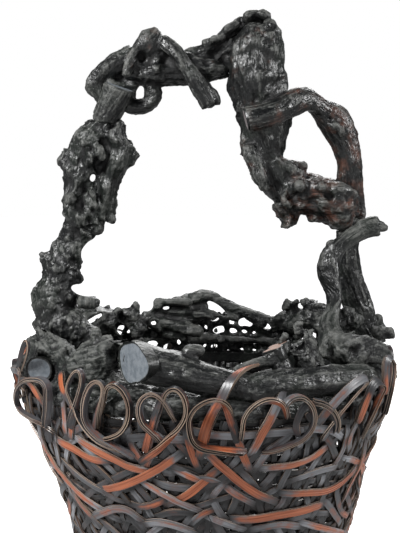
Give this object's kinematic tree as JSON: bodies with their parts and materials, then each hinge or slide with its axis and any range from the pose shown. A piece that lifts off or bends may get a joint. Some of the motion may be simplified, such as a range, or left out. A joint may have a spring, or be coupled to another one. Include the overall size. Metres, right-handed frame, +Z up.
{
  "type": "bamboo flower basket",
  "caption": "Woven split-bamboo flower basket, tapering to a round base, with a rim and an arched carrying handle of gnarled root wood and bamboo loops round the mouth.",
  "frame": {"origin": "middle of the underside of the base, on the surface that the basket stands on", "axes": "+Z up, -Y towards the front with the sawn branch end and the wrapped strip, +X to the right, where the handle has its side loop"},
  "size_m": [0.3159, 0.3121, 0.5054],
  "materials": {
    "dark_root_wood": "near-black lacquered root wood, low sheen, grey dust on the high spots",
    "brown_root_wood": "dark root wood rubbed through to red-brown on the ridges",
    "grey_root_wood": "dry dark root wood with grey bark",
    "woven_bamboo": "smoked split bamboo, grey-mauve with a low sheen",
    "looped_bamboo": "smoked split bamboo with pale edges",
    "orange_bamboo": "polished orange-brown bamboo skin",
    "split_bamboo_hoop": "smoked split bamboo"
  },
  "bodies": {
    "root": {"branch_wrap_strip": "orange_bamboo", "foot_ring": "split_bamboo_hoop", "handle_bark_tongue": "brown_root_wood", "handle_crook_branch": "dark_root_wood", "handle_cut_arm": "brown_root_wood", "handle_hooded_knob": "dark_root_wood", "handle_hook": "dark_root_wood", "handle_left_burl": "dark_root_wood", "handle_left_flap": "dark_root_wood", "handle_left_neck": "dark_root_wood", "handle_left_root": "dark_root_wood", "handle_right_burl": "dark_root_wood", "handle_right_knuckle": "brown_root_wood", "handle_right_leg": "dark_root_wood", "handle_right_trunk": "dark_root_wood", "handle_shoulder": "dark_root_wood", "handle_side_loop": "brown_root_wood", "handle_top_bar": "dark_root_wood", "handle_top_vine": "dark_root_wood", "inner_hoop": "split_bamboo_hoop", "outer_strip_01": "orange_bamboo", "outer_strip_02": "orange_bamboo", "outer_strip_03": "orange_bamboo", "outer_strip_04": "orange_bamboo", "outer_strip_05": "orange_bamboo", "outer_strip_06": "orange_bamboo", "outer_strip_07": "orange_bamboo", "rim_back_arch_root": "dark_root_wood", "rim_back_base_root": "dark_root_wood", "rim_back_left_root": "dark_root_wood", "rim_back_right_root": "dark_root_wood", "rim_front_branch": "dark_root_wood", "rim_front_log": "grey_root_wood", "rim_inner_root": "grey_root_wood", "rim_left_cut_branch": "grey_root_wood", "rim_left_root": "grey_root_wood", "rim_loop_01": "looped_bamboo", "rim_loop_02": "looped_bamboo", "rim_loop_03": "looped_bamboo", "rim_loop_04": "looped_bamboo", "rim_loop_05": "looped_bamboo", "rim_loop_06": "looped_bamboo", "rim_loop_07": "looped_bamboo", "rim_loop_08": "looped_bamboo", "rim_loop_09": "looped_bamboo", "rim_loop_10": "looped_bamboo", "rim_loop_11": "looped_bamboo", "rim_loop_12": "looped_bamboo", "rim_loop_13": "looped_bamboo", "rim_loop_14": "looped_bamboo", "rim_loop_15": "looped_bamboo", "rim_loop_16": "looped_bamboo", "rim_right_fan": "grey_root_wood", "rim_right_root": "dark_root_wood", "rim_rough_knot": "grey_root_wood", "rim_small_stub": "dark_root_wood", "rim_under_branch": "dark_root_wood", "woven_base": "woven_bamboo", "woven_wall": "woven_bamboo"}
  },
  "joints": []
}
